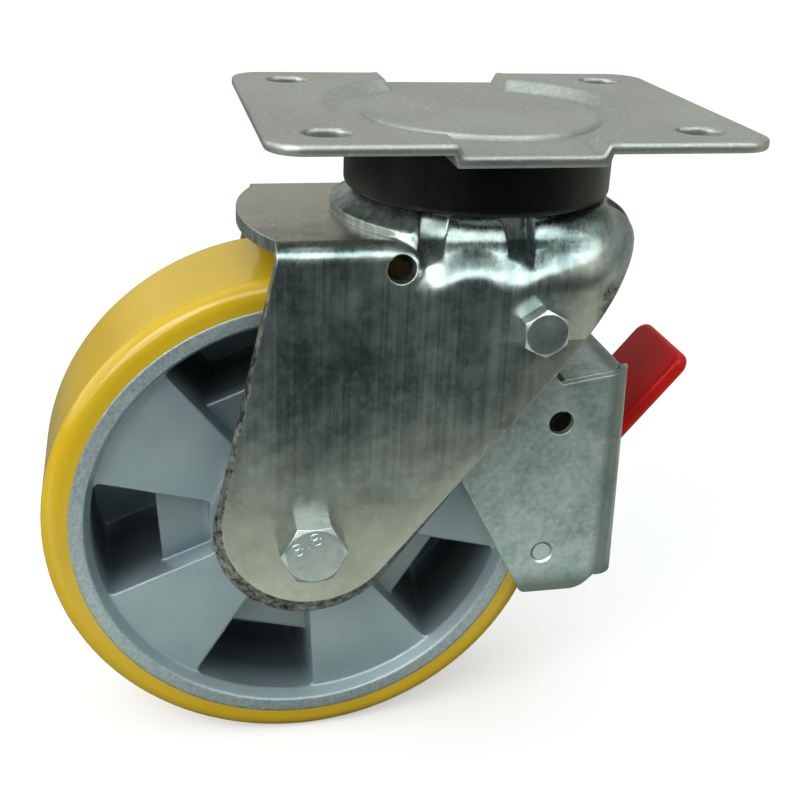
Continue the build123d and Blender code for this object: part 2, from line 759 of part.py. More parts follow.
def pedal_lever():
    """Bent steel lever: two arms on the pins, a plate that leaves through the web, and a heel for the shoe."""
    middle = (tongue_top + tongue_low) / 2
    thickness = tongue_top - tongue_low
    tongue_end = pedal_reach - 2 * pedal_wall
    tongue_length = tongue_end - lever_plate_start
    tongue_x = (tongue_end + lever_plate_start) / 2
    tongue = Pos(tongue_x, 0, middle) * Box(tongue_length, lever_tongue_width, thickness)
    wide_length = lever_plate_shoulder - lever_plate_start
    wide_x = (lever_plate_shoulder + lever_plate_start) / 2
    tongue += Pos(wide_x, 0, middle) * Box(wide_length, 2 * lever_outer, thickness)
    angle = math.radians(pedal_angle)
    along_x = pivot_x + wide_x * math.cos(angle) - middle * math.sin(angle)
    along_z = pivot_z + wide_x * math.sin(angle) + middle * math.cos(angle)
    arm = y_prism(link_face(pivot, (along_x, along_z), lever_hub_radius, arm_end_radius), -lever_outer, -lever_inner)
    arm += y_prism(link_face(pivot, heel_centre(), lever_hub_radius, heel_link_radius), -lever_outer, -lever_inner)
    bore = pivot_radius + pivot_fit
    arm -= y_rod(pivot_x, pivot_z, bore, -lever_outer - 1, -lever_inner + 1)
    shoe_back = wheel_radius + shoe_stop_gap + shoe_thickness
    heel = shoe_block(shoe_back, shoe_back + lever_sheet, shoe_half_angle, lever_outer)
    lever = pedal_frame(tongue) + arm + mirror(arm, Plane.XZ) + heel
    for rivet in shoe_rivets():
        lever -= rivet
    return lever


def pedal_cover():
    """Plastic cover pushed over the lever's tongue."""
    length = pedal_reach - pedal_start
    face = Pos(pedal_start + length / 2, 0, -pedal_lower_offset) * Rectangle(length, pedal_width)
    block = extrude(face, amount=pedal_thickness)
    block = fillet(block.edges().filter_by(Axis.Z).group_by(Axis.X)[-1], pedal_corner_radius)
    block = fillet(block.edges().group_by(Axis.Z)[-1] + block.edges().group_by(Axis.Z)[0], pedal_edge_radius)
    pocket_end = pedal_reach - 2 * pedal_wall + 0.02
    pocket_height = pedal_thickness - 2 * pedal_wall + 0.02
    pocket_z = -pedal_lower_offset + pedal_thickness / 2
    pocket = Pos(pocket_end / 2, 0, pocket_z) * Box(pocket_end, lever_tongue_width + 0.04, pocket_height)
    return pedal_frame(block - pocket)


def brake_shoe():
    """Rubber shoe whose hollow face meets the tread when the pedal is pressed."""
    face_radius = wheel_radius + shoe_stop_gap
    block = shoe_block(face_radius, face_radius + shoe_thickness, shoe_half_angle, shoe_width / 2)
    for rivet in shoe_rivets():
        block -= rivet
    return block


def shoe_rivets():
    """Two rivets that hold the shoe on the heel of the lever."""
    radius = wheel_radius + shoe_stop_gap + shoe_thickness + lever_sheet
    sunk = lever_sheet + shoe_thickness * 0.6
    rivets = []
    for side in (-1, 1):
        rivet = z_rod(shoe_rivet_radius, -sunk, 0) + z_rod(shoe_rivet_radius * 1.8, 0, 1.2)
        laid = Rot(0, 90, 0) * rivet
        placed = Rot(0, -shoe_angle, 0) * Pos(radius, side * shoe_rivet_y, 0) * laid
        on_wheel = Pos(axle_x, 0, axle_z) * placed
        about_pivot = Pos(pivot_x, 0, pivot_z) * Rot(0, -pedal_travel, 0) * Pos(-pivot_x, 0, -pivot_z)
        rivets.append(about_pivot * on_wheel)
    return rivets


# ---------------------------------------------------------------- wheel

def tread():
    """Soft tyre bonded on the rim, with rounded shoulders."""
    half = wheel_width / 2
    band = z_ring(rim_radius, wheel_radius, -half, half)
    shoulder_edges = band.edges().filter_by(GeomType.CIRCLE).sort_by(SortBy.RADIUS)[-2:]
    return on_axle(fillet(shoulder_edges, tread_shoulder_radius))


def pocket_face(first_radius, last_radius, inset, flat_start):
    """Plan of a pocket centred on +X, its sides moved in by inset, and its inner side flat past flat_start."""
    half_angle = math.radians(180 / (2 * spoke_count))
    reach = 1.2 * last_radius
    slope = math.tan(half_angle)
    apex = inset / math.sin(half_angle)
    side_y = (reach - apex) * slope
    face = face_of([(apex, 0), (reach, side_y), (reach, -side_y)]) & (Circle(last_radius) - Circle(first_radius))
    if flat_start > first_radius:
        face = face & (Pos(flat_start + reach / 2, 0) * Rectangle(reach, 2 * reach))
    return fillet(face.vertices(), pocket_corner_radius)


def pocket(first_radius, last_radius, floor_z, flat_start):
    """One pocket of the wheel centre about Z, open at the top, with leaning sides that leave an even wall."""
    draft = web_wall / (2 * web_half_width - web_plate)
    inset = (web_half_width - floor_z) * draft
    floor = Pos(0, 0, floor_z) * pocket_face(first_radius, last_radius, inset, flat_start)
    mouth = Pos(0, 0, web_half_width) * pocket_face(first_radius, last_radius, 0.01, flat_start)
    relief = extrude(mouth, amount=web_plate / 2)
    return loft([floor, mouth], ruled=True) + relief


def wheel_centre():
    """Cast centre: rim, hub and a zigzag web whose five front and five rear plates join through short walls."""
    half = wheel_width / 2
    barrel_radius = rim_radius - rim_wall
    lip_radius = rim_radius - rim_lip
    hub_end = hub_length / 2
    body = z_turned([
        (0, -hub_end), (hub_radius, -hub_end), (hub_radius, -web_half_width), (barrel_radius, -web_half_width),
        (lip_radius, -half), (rim_radius, -half), (rim_radius, half), (lip_radius, half),
        (barrel_radius, web_half_width), (hub_radius, web_half_width), (hub_radius, hub_end), (0, hub_end)])
    step = 360 / spoke_count
    start_radius = hub_radius + pocket_land
    deep = pocket(start_radius, barrel_radius, web_plate - web_half_width, collar_flat)
    shallow = pocket(start_radius, collar_flat + web_plate, collar_half_width, 0)
    for i in range(spoke_count):
        spoke_turn = -(spoke_angle + step * i)
        for hollow in (deep, shallow):
            body -= Rot(0, 0, spoke_turn) * hollow
            body -= Rot(0, 0, spoke_turn + step / 2) * Rot(180, 0, 0) * hollow
    seat = bearing_outer_radius
    seat_depth = bearing_width + bearing_recess
    body -= z_rod(seat, hub_end - seat_depth, hub_end + 1)
    body -= z_rod(seat, -hub_end - 1, -hub_end + seat_depth)
    body -= z_rod(outer_ring_bore, -hub_end, hub_end)
    return on_axle(body)


def both_bearings(part):
    """The same bearing part at both ends of the hub."""
    outward = on_axle(Pos(0, 0, bearing_face - bearing_width / 2) * part)
    return [outward, mirror(outward, Plane.XZ)]


def bearing_outer_rings():
    """Outer rings of the two wheel bearings, pressed into the hub."""
    half = bearing_width / 2
    ring = z_ring(outer_ring_bore, bearing_outer_radius, -half, half)
    return both_bearings(ring - ball_groove(bearing_pitch_radius, bearing_ball_radius, 0))


def bearing_inner_rings():
    """Inner rings of the two wheel bearings, on the axle tube."""
    half = bearing_width / 2
    ring = z_ring(bearing_inner_radius, inner_ring_outside, -half, half)
    return both_bearings(ring - ball_groove(bearing_pitch_radius, bearing_ball_radius, 0))


def bearing_balls():
    """Balls of the two wheel bearings."""
    row = ball_row(bearing_ball_count, bearing_pitch_radius, bearing_ball_radius, 0)
    return [ball for one in row for ball in both_bearings(one)]


def bearing_seals():
    """Thin seals in both faces of each wheel bearing, held by the outer ring."""
    outer = outer_ring_bore
    inner = inner_ring_outside + 0.35
    half = bearing_width / 2
    seals = both_bearings(z_ring(inner, outer, half - bearing_seal_thickness, half))
    return seals + both_bearings(z_ring(inner, outer, -half, -half + bearing_seal_thickness))


def axle_tube():
    """Tube round the axle bolt, clamped between the legs."""
    tube = z_ring(axle_shank_radius + 0.1, bearing_inner_radius - axle_tube_clearance, -leg_inner, leg_inner)
    return on_axle(tube)


def axle_spacers():
    """Collars between each wheel bearing and its leg."""
    collar = on_axle(z_ring(bearing_inner_radius, inner_ring_outside, bearing_face, leg_inner))
    return [collar, mirror(collar, Plane.XZ)]


def axle_bolt():
    """Hexagon bolt that carries the wheel."""
    length = 2 * leg_outer + washer_thickness + axle_nut_height + thread_projection
    bolt = hex_bolt(axle_shank_radius, axle_flats, axle_head_height, length, 0)
    return on_axle(Pos(0, 0, -leg_outer) * bolt)


def axle_washer():
    """Washer under the axle nut."""
    return on_axle(z_ring(axle_shank_radius + 0.1, 2 * axle_shank_radius, leg_outer, leg_outer + washer_thickness))


def axle_nut():
    """Self-locking nut on the axle bolt."""
    nut = lock_nut(axle_shank_radius, axle_flats, axle_nut_height, 15)
    return on_axle(Pos(0, 0, leg_outer + washer_thickness) * nut)


# ---------------------------------------------------------------- write every sub-part

PARTS = {
    "top_plate": top_plate,
    "king_pin": king_pin,
    "upper_race": upper_race,
    "upper_balls": upper_balls,
    "fork_race": fork_race,
    "lower_race": lower_race,
    "lower_balls": lower_balls,
    "lower_cup": lower_cup,
    "king_nut": king_nut,
    "seal_ring": seal_ring,
    "fork": fork,
    "brake_bracket": brake_bracket,
    "brake_sleeve": brake_sleeve,
    "brake_bolt": brake_bolt,
    "brake_washer": brake_washer,
    "brake_nut": brake_nut,
    "pivot_pins": pivot_pins,
    "pedal_lever": pedal_lever,
    "pedal_cover": pedal_cover,
    "brake_shoe": brake_shoe,
    "shoe_rivets": shoe_rivets,
    "tread": tread,
    "wheel_centre": wheel_centre,
    "bearing_outer_rings": bearing_outer_rings,
    "bearing_inner_rings": bearing_inner_rings,
    "bearing_balls": bearing_balls,
    "bearing_seals": bearing_seals,
    "axle_tube": axle_tube,
    "axle_spacers": axle_spacers,
    "axle_bolt": axle_bolt,
    "axle_washer": axle_washer,
    "axle_nut": axle_nut,
}

os.makedirs("parts", exist_ok=True)
for node, make in PARTS.items():
    shape = make()
    if isinstance(shape, list):
        shape = Compound(children=shape)
    export_step(shape, f"parts/{node}.step")
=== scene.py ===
import json

import bmesh
import bpy
import numpy as np
from mathutils import Matrix, Vector


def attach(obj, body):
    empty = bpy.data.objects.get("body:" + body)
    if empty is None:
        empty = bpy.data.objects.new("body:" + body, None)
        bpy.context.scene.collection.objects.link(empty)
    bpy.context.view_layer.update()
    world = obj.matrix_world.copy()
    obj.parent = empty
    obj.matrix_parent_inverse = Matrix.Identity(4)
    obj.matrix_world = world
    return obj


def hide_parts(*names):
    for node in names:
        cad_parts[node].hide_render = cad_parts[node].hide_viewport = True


# Swivel castor in its finishes: mottled zinc on the pressed fork, brighter zinc on the brake bracket,
# satin cast wheel centre, glossy amber tread. Metres; the swivel axis is Z and the plate's top face is z = 0.

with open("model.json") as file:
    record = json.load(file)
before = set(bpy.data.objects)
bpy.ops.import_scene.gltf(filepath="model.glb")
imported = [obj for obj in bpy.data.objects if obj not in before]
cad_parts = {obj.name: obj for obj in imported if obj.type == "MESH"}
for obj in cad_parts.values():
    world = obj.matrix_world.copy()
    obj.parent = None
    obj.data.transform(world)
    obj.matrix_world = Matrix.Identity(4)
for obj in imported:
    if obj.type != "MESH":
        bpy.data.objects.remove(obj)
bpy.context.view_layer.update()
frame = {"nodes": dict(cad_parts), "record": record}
nodes = frame["nodes"]

# ---------------------------------------------------------------- places on the part

AXLE_X, AXLE_Z = -0.055, -0.125
LEG_FACE = 0.0375  # outside of each leg, to either side of y = 0
FRONT_EDGE_X, FRONT_EDGE_DROP = 0.020, 0.0712  # a point on the legs' sloping front edge
FLOOR_Z = -0.2052

# ---------------------------------------------------------------- camera

CAMERA_AZIMUTH = np.radians(-13.07)
CAMERA_ELEVATION = np.radians(24.01)
CAMERA_ROLL = np.radians(2.52)
CAMERA_DISTANCE = 0.40248
CAMERA_TARGET = np.array([-0.02065, 0.0, -0.09591])
CAMERA_LENS = 55.39
SENSOR_WIDTH = 36.0
NEAR_CLIP = 0.01


def camera_axes():
    """Right, up and backward directions of the camera from its azimuth, elevation and roll."""
    flat = np.cos(CAMERA_ELEVATION)
    back = np.array([np.sin(CAMERA_AZIMUTH) * flat, -np.cos(CAMERA_AZIMUTH) * flat, np.sin(CAMERA_ELEVATION)])
    right = np.cross([0, 0, 1], back)
    right /= np.linalg.norm(right)
    up = np.cross(back, right)
    cos, sin = np.cos(CAMERA_ROLL), np.sin(CAMERA_ROLL)
    return cos * right + sin * up, cos * up - sin * right, back


def add_camera():
    """Camera at the viewing angle, placed by its axes."""
    data = bpy.data.cameras.new("camera")
    data.lens = CAMERA_LENS
    data.sensor_width = SENSOR_WIDTH
    data.clip_start = NEAR_CLIP
    camera = bpy.data.objects.new("camera", data)
    right, up, back = camera_axes()
    place = Matrix.Identity(4)
    for row in range(3):
        place[row][0], place[row][1], place[row][2] = right[row], up[row], back[row]
        place[row][3] = CAMERA_TARGET[row] + back[row] * CAMERA_DISTANCE
    camera.matrix_world = place
    bpy.context.scene.collection.objects.link(camera)
    bpy.context.scene.camera = camera


# ---------------------------------------------------------------- shader maths

class Value:
    """One socket of a material's tree, or a plain number; arithmetic on it adds Math nodes."""

    def __init__(self, tree, socket):
        self.tree = tree
        self.socket = socket

    def _math(self, operation, *terms):
        node = self.tree.nodes.new("ShaderNodeMath")
        node.operation = operation
        for slot, term in zip(node.inputs, terms):
            plug(self.tree, slot, term)
        return Value(self.tree, node.outputs[0])

    def __add__(self, other):
        return self._math("ADD", self, other)

    def __radd__(self, other):
        return self._math("ADD", other, self)

    def __sub__(self, other):
        return self._math("SUBTRACT", self, other)

    def __rsub__(self, other):
        return self._math("SUBTRACT", other, self)

    def __mul__(self, other):
        return self._math("MULTIPLY", self, other)

    def __rmul__(self, other):
        return self._math("MULTIPLY", other, self)

    def __truediv__(self, other):
        return self._math("DIVIDE", self, other)

    def __abs__(self):
        return self._math("ABSOLUTE", self)

    def clamp(self):
        return self._math("MINIMUM", self._math("MAXIMUM", self, 0.0), 1.0)

    def step_between(self, low, high):
        """0 below low, 1 above high and a straight rise between; low may be above high."""
        return ((self - low) / (high - low)).clamp()

    def at_least(self, floor):
        return self._math("MAXIMUM", self, floor)

    def power(self, exponent):
        return self._math("POWER", self, exponent)


def plug(tree, slot, term):
    """Puts a number, colour or vector on a socket, or links a Value to it."""
    if isinstance(term, Value):
        tree.links.new(term.socket, slot)
    else:
        slot.default_value = term


class Tree:
    """A node tree built from Python expressions, with the coordinates it starts from."""

    def __init__(self, tree, coordinates):
        self.tree = tree
        self.tree.nodes.clear()
        self.place = self.node("ShaderNodeTexCoord", out=coordinates)
        self.x, self.y, self.z = self.split(self.place)

    def node(self, kind, settings=None, out=0, **inputs):
        """Adds a node, sets its settings first and then its sockets, and returns one of its outputs."""
        node = self.tree.nodes.new(kind)
        for name, value in (settings or {}).items():
            if name == "stops":
                self.set_stops(node.color_ramp, value)
            else:
                setattr(node, name, value)
        for name, value in inputs.items():
            plug(self.tree, self.find(node, name), value)
        return Value(self.tree, node.outputs[out])

    @staticmethod
    def find(node, name):
        """Socket by its name with spaces as underscores, or by its number as in_0."""
        if name.startswith("in_"):
            return node.inputs[int(name[3:])]
        return node.inputs[name.replace("_", " ")]

    @staticmethod
    def set_stops(ramp, stops):
        while len(ramp.elements) < len(stops):
            ramp.elements.new(0.5)
        for element, (place, colour) in zip(ramp.elements, stops):
            element.position = place
            element.color = (*colour, 1.0)

    def split(self, vector):
        node = self.tree.nodes.new("ShaderNodeSeparateXYZ")
        plug(self.tree, node.inputs[0], vector)
        return [Value(self.tree, out) for out in node.outputs]

    def stretched(self, sx, sy, sz):
        """Object coordinates scaled along each axis, for streaks."""
        return self.node("ShaderNodeVectorMath", {"operation": "MULTIPLY"}, in_0=self.place, in_1=(sx, sy, sz))

    def noise(self, scale, detail=3.0, rough=0.55, vector=None, distortion=0.0):
        """Smooth noise from 0 to 1 about 0.5."""
        source = self.place if vector is None else vector
        return self.node(
            "ShaderNodeTexNoise", Vector=source, Scale=scale, Detail=detail, Roughness=rough, Distortion=distortion)

    def mix(self, factor, first, second):
        """Colour between first, at factor 0, and second, at factor 1."""
        node = self.tree.nodes.new("ShaderNodeMix")
        node.data_type = "RGBA"
        plug(self.tree, node.inputs[0], factor)
        plug(self.tree, node.inputs[6], self.colour(first))
        plug(self.tree, node.inputs[7], self.colour(second))
        return Value(self.tree, node.outputs[2])

    @staticmethod
    def colour(value):
        return value if isinstance(value, Value) or len(value) == 4 else (*value, 1.0)

    def ramp(self, factor, stops):
        return self.node("ShaderNodeValToRGB", {"stops": stops}, Fac=factor)

    def bump(self, height, strength, distance, normal=None):
        inputs = {"Height": height, "Strength": strength, "Distance": distance}
        if normal is not None:
            inputs["Normal"] = normal
        return self.node("ShaderNodeBump", **inputs)

    def light_path(self, kind):
        """1 for rays of one kind, 0 for the others."""
        return self.node("ShaderNodeLightPath", out=kind)

    def rounded(self, radius):
        """Normal as if every sharp edge had this radius."""
        return self.node("ShaderNodeBevel", {"samples": 6}, Radius=radius)

    def leaned(self, normal, amount):
        """Normal leaned upwards by amount, as on a surface that rounds over to the top."""
        lift = self.node("ShaderNodeCombineXYZ", Z=amount)
        moved = self.node("ShaderNodeVectorMath", {"operation": "ADD"}, in_0=normal, in_1=lift)
        return self.node("ShaderNodeVectorMath", {"operation": "NORMALIZE"}, in_0=moved)

    def facing(self):
        """The surface's own direction, split into its three parts."""
        return self.split(self.node("ShaderNodeTexCoord", out="Normal"))


class Finish(Tree):
    """A material in object coordinates."""

    def __init__(self, name):
        self.material = bpy.data.materials.new(name)
        self.material.use_nodes = True
        super().__init__(self.material.node_tree, "Object")

    def shade(self, **inputs):
        """Principled surface with the given sockets."""
        node = self.tree.nodes.new("ShaderNodeBsdfPrincipled")
        for name, value in inputs.items():
            slot = node.inputs[name.replace("_", " ")]
            plug(self.tree, slot, self.colour(value) if name == "Base_Color" else value)
        output = self.tree.nodes.new("ShaderNodeOutputMaterial")
        self.tree.links.new(node.outputs[0], output.inputs[0])
        return self.material


# ---------------------------------------------------------------- finishes

def fork_zinc():
    """Zinc on deep-drawn sheet: cloudy teal and olive patches, draw marks down the legs, dark torn edges, and a
    painted reflection that makes the lower legs and the upward faces paler and more olive.

    The shoulder's normals lean upwards, so that it takes the light from above.
    """
    f = Finish("fork_zinc")
    cloud = f.noise(26.0, 4.0, 0.6, distortion=0.4)
    grain = f.noise(420.0, 3.0, 0.6)
    streak = f.noise(1.0, 4.0, 0.65, vector=f.stretched(900.0, 900.0, 14.0))
    wide_streak = f.noise(1.0, 2.0, 0.5, vector=f.stretched(160.0, 160.0, 7.0))
    nx, ny, nz = f.facing()
    side = abs(ny).step_between(0.90, 0.98)
    inside = (f.z + FRONT_EDGE_DROP) * 0.6 - (f.x - FRONT_EDGE_X) * 0.8
    upper = f.z.step_between(-0.090, -0.062)
    border = (upper * 0.020 + 0.008 - inside).at_least(0.0)
    # Lower on the legs' side faces, and in a band along the front edge, the colour turns a paler olive. The height
    # part is a painted reflection of the pale floor; the cloud adds real patches of tint.
    low = f.z.step_between(-0.070, -0.125)
    olive = (low + border * 30.0 + (cloud - 0.5) * 0.8).clamp()
    spangle = f.noise(150.0, 2.0, 0.7)
    tone = (cloud - 0.5) * 2.0 + (wide_streak - 0.5) * 1.2 + (spangle - 0.5) * 1.3 + (streak - 0.5) * 0.7 + 0.5
    body = f.ramp(tone, [
        (0.0, (0.125, 0.175, 0.180)), (0.5, (0.275, 0.345, 0.345)), (1.0, (0.500, 0.570, 0.555))])
    olive_tint_and_reflection = f.ramp(cloud, [(0.3, (0.400, 0.430, 0.365)), (0.7, (0.520, 0.535, 0.455))])
    colour = f.mix(olive * side, body, olive_tint_and_reflection)
    colour = f.mix((grain - 0.48).clamp() * 1.4, colour, (0.62, 0.68, 0.66))
    # Faces that look straight up get a paler olive: a painted reflection of the lit back wall.
    painted_top_reflection = f.ramp(cloud, [(0.35, (0.430, 0.435, 0.375)), (0.65, (0.520, 0.525, 0.460))])
    colour = f.mix(nz.step_between(0.90, 0.99), colour, painted_top_reflection)
    cut = abs(ny).step_between(0.985, 0.93) * f.z.step_between(-0.044, -0.048)
    torn = f.noise(380.0, 4.0, 0.75)
    rust = f.mix(torn.step_between(0.36, 0.66), (0.020, 0.021, 0.020), (0.42, 0.43, 0.40))
    colour = f.mix(cut, colour, rust)
    rough = (cloud - 0.5) * 0.20 + (streak - 0.5) * 0.28 + cut * 0.2 + olive * 0.06 + 0.29
    shoulder = f.z.step_between(-0.048, -0.037) * f.z.step_between(-0.027, -0.034)
    shoulder = shoulder * f.x.step_between(-0.034, -0.020)
    normal = f.leaned(f.rounded(0.0008), shoulder * 0.62)
    waves = f.noise(34.0, 2.0, 0.5) * 0.0011 - border * border * 6.0
    normal = f.bump(waves, 1.0, 1.0, normal)
    marks = streak * 0.7 + grain * 0.3 + cut * torn * 7.0
    return f.shade(
        Base_Color=colour, Metallic=0.92, Roughness=rough.clamp(), Normal=f.bump(marks, 0.35, 0.00010, normal))


def plate_zinc():
    """Plain grey zinc on the top plate, with fine grain and soft clouds."""
    f = Finish("plate_zinc")
    cloud = f.noise(22.0, 4.0, 0.6)
    grain = f.noise(600.0, 2.0, 0.5)
    colour = f.ramp(cloud, [(0.3, (0.375, 0.405, 0.375)), (0.7, (0.455, 0.480, 0.445))])
    colour = f.mix((grain - 0.5).clamp() * 2.2, colour, (0.62, 0.66, 0.65))
    rough = (cloud - 0.5) * 0.3 + 0.38
    waves = f.bump(f.noise(30.0, 2.0, 0.5), 1.0, 0.0006, f.rounded(0.0020))
    normal = f.bump(grain, 0.4, 0.00010, waves)
    return f.shade(Base_Color=colour, Metallic=0.85, Roughness=rough.clamp(), Normal=normal)


def bracket_zinc():
    """Bright bluish zinc with fine scratches, and painted shade along the bend and towards the lower edge."""
    f = Finish("bracket_zinc")
    cloud = f.noise(55.0, 5.0, 0.65, distortion=0.5)
    scratch = f.noise(1.0, 3.0, 0.6, vector=f.stretched(260.0, 260.0, 1500.0))
    grain = f.noise(500.0, 3.0, 0.65)
    tone = (cloud - 0.5) * 1.6 + (grain - 0.5) * 1.1 + 0.5
    colour = f.ramp(tone, [
        (0.1, (0.270, 0.350, 0.345)), (0.5, (0.440, 0.545, 0.535)), (0.9, (0.610, 0.700, 0.690))])
    stain = f.noise(210.0, 3.0, 0.6, distortion=1.2).step_between(0.66, 0.74)
    colour = f.mix(stain * 0.55, colour, (0.200, 0.230, 0.200))
    rough = (cloud - 0.5) * 0.25 + (scratch - 0.5) * 0.3 + 0.40
    foot = (-0.1425 - f.z).at_least(0.0)
    bend = f.x.step_between(0.0372, 0.0400) * f.x.step_between(0.0446, 0.0428)
    # Painted shade towards the lower edge.
    colour = f.mix(foot.step_between(0.0, 0.007) * 0.85, colour, (0.150, 0.190, 0.175))
    # Painted shade along the rounded bend.
    colour = f.mix(bend * 0.72, colour, (0.120, 0.140, 0.135))
    rim = f.bump(foot * foot * -9.0, 1.0, 1.0, f.rounded(0.0005))
    normal = f.bump(scratch * 0.6 + grain * 0.6 + cloud * 4.0, 0.35, 0.00010, rim)
    return f.shade(Base_Color=colour, Metallic=0.9, Roughness=rough.clamp(), Normal=normal)


def bolt_zinc():
    """Bright zinc on bolts, nuts and pins."""
    f = Finish("bolt_zinc")
    cloud = f.noise(130.0, 4.0, 0.65)
    colour = f.ramp(cloud, [(0.25, (0.38, 0.46, 0.46)), (0.75, (0.62, 0.69, 0.68))])
    normal = f.bump(f.noise(520.0, 3.0, 0.6), 0.25, 0.00006, f.rounded(0.0004))
    rough = (cloud - 0.5) * 0.3 + 0.3
    return f.shade(Base_Color=colour, Metallic=0.92, Roughness=rough.clamp(), Normal=normal)


def dark_steel():
    """Plain machined steel."""
    f = Finish("dark_steel")
    turned = f.noise(300.0, 2.0, 0.5)
    colour = f.ramp(turned, [(0.3, (0.20, 0.205, 0.21)), (0.7, (0.30, 0.305, 0.31))])
    return f.shade(Base_Color=colour, Metallic=0.9, Roughness=0.4)


def bearing_steel():
    """Ground bearing steel."""
    f = Finish("bearing_steel")
    tone = f.noise(200.0, 2.0, 0.5)
    colour = f.ramp(tone, [(0.3, (0.50, 0.51, 0.52)), (0.7, (0.60, 0.61, 0.62))])
    return f.shade(Base_Color=colour, Metallic=1.0, Roughness=0.22)


def seal_black():
    """Black moulded plastic with a soft sheen."""
    f = Finish("seal_black")
    tone = f.noise(180.0, 3.0, 0.6)
    colour = f.ramp(tone, [(0.3, (0.0012, 0.0015, 0.0018)), (0.8, (0.0030, 0.0033, 0.0036))])
    normal = f.bump(f.noise(1400.0, 2.0, 0.5), 0.12, 0.00004, f.rounded(0.0006))
    return f.shade(
        Base_Color=colour, Roughness=((tone - 0.5) * 0.2 + 0.34).clamp(), Normal=normal, Specular_IOR_Level=0.28)


def pedal_red():
    """Red moulded plastic, satin."""
    f = Finish("pedal_red")
    tone = f.noise(60.0, 3.0, 0.5)
    colour = f.ramp(tone, [(0.3, (0.56, 0.006, 0.004)), (0.7, (0.65, 0.010, 0.007))])
    normal = f.bump(f.noise(1200.0, 2.0, 0.5), 0.1, 0.00005, f.rounded(0.0008))
    return f.shade(
        Base_Color=colour, Roughness=((tone - 0.5) * 0.15 + 0.36).clamp(), Normal=normal, Specular_IOR_Level=0.22)


def shoe_rubber():
    """Black rubber."""
    f = Finish("shoe_rubber")
    tone = f.noise(300.0, 3.0, 0.6)
    colour = f.ramp(tone, [(0.3, (0.02, 0.02, 0.02)), (0.7, (0.04, 0.04, 0.04))])
    return f.shade(Base_Color=colour, Roughness=0.75)


def tread_amber():
    """Glossy amber polyurethane with faint clouds."""
    f = Finish("tread_amber")
    tone = f.noise(30.0, 3.0, 0.5)
    colour = f.ramp(tone, [(0.3, (0.58, 0.375, 0.013)), (0.7, (0.66, 0.440, 0.019))])
    normal = f.bump(f.noise(160.0, 2.0, 0.5), 0.06, 0.0002)
    return f.shade(
        Base_Color=colour, Roughness=((tone - 0.5) * 0.08 + 0.13).clamp(), Normal=normal, Specular_IOR_Level=0.45)


def wheel_grey():
    """Satin blue-grey cast metal: fine grain, painted shade deep in the pockets, and a coarser, paler face on the
    rim's lip.
    """
    f = Finish("wheel_grey")
    dx = f.x - AXLE_X
    dz = f.z - AXLE_Z
    radius = (dx * dx + dz * dz).power(0.5)
    lip = radius.step_between(0.0665, 0.0680)
    grain = f.noise(1100.0, 3.0, 0.6)
    cloud = f.noise(45.0, 3.0, 0.5)
    body = f.ramp(cloud, [(0.3, (0.280, 0.365, 0.400)), (0.7, (0.370, 0.460, 0.490))])
    pale = f.ramp(grain, [(0.3, (0.25, 0.32, 0.34)), (0.7, (0.54, 0.63, 0.64))])
    colour = f.mix(lip * 0.7, body, pale)
    # Painted shade deep in the pockets between the spokes.
    deep = abs(f.y).step_between(0.0195, 0.008) * radius.step_between(0.0280, 0.0320)
    colour = f.mix(deep * 0.8, colour, (0.050, 0.065, 0.070))
    normal = f.bump(grain, 0.35, 0.0001, f.rounded(0.0013))
    rough = (grain - 0.5) * 0.25 + 0.40
    return f.shade(Base_Color=colour, Metallic=0.55, Roughness=rough.clamp(), Normal=normal)


FINISHES = {
    "plate_zinc": plate_zinc,
    "fork_zinc": fork_zinc,
    "bracket_zinc": bracket_zinc,
    "bolt_zinc": bolt_zinc,
    "dark_steel": dark_steel,
    "bearing_steel": bearing_steel,
    "seal_black": seal_black,
    "pedal_red": pedal_red,
    "shoe_rubber": shoe_rubber,
    "tread_amber": tread_amber,
    "wheel_grey": wheel_grey,
}
MATERIALS = {name: make() for name, make in FINISHES.items()}


def dress_nodes():
    """Gives every CAD node the finish of its slot."""
    for part in frame["record"]["subparts"]:
        mesh = nodes[part["node"]].data
        mesh.materials.clear()
        mesh.materials.append(MATERIALS[part["material_slot"]])


# ---------------------------------------------------------------- pressed shoulder of the fork

SOFT_ZONE = np.array([[-0.036, 0.020, -0.0505], [0.0455, 0.0380, -0.0243]])  # least and most of x, |y| and z
SOFT_STEP = 0.0009  # longest edge left in the zone
HALVING_PASSES = 12
EDGE_SAMPLES = 9
SOFT_ROUNDS = 10
SOFT_SHARE = 0.6  # of the way to the neighbours' mean, each round
RIM_FADES = (  # coordinate, where the sheet is held, where it is free
    (0, -0.0335, -0.0290), (0, 0.0390, 0.0300), (1, 0.0215, 0.0260), (2, -0.0500, -0.0460), (2, -0.0244, -0.0252))
HOLE_CENTRE = np.array([-0.0303, -0.0389])
HOLE_RADIUS = 0.00425
HOLE_FADE = (0.0008, 0.0030)
CUT_LINE = np.array([[0.0354, -0.0500], [0.0460, -0.0340]])
CUT_FADE = (0.0012, 0.0035)
HEAD_TOP = -0.0245
SHOULDER_RADIUS = 0.012
SHOULDER_PULL = 0.0022
SHOULDER_FOOT = -0.0425
DART_X = (-0.0225, 0.0035)
DART_SPREAD = 0.0075
DART_DIP = 0.0055  # how far the pull's foot drops under a dart
MERGE_DISTANCE = 1e-6
PRESSED_CREASE = np.radians(20.0)


def rise(values, low, high):
    """Smooth step from 0 at low to 1 at high: 3t^2 - 2t^3."""
    t = np.clip((values - low) / (high - low), 0.0, 1.0)
    return t * t * (3.0 - 2.0 * t)


def in_soft_zone(points):
    """Whether points lie in the shoulder's zone, on either side of the fork."""
    folded = points * [1.0, 0.0, 1.0] + np.abs(points) * [0.0, 1.0, 0.0]
    return ((folded > SOFT_ZONE[0]) & (folded < SOFT_ZONE[1])).all(axis=1)


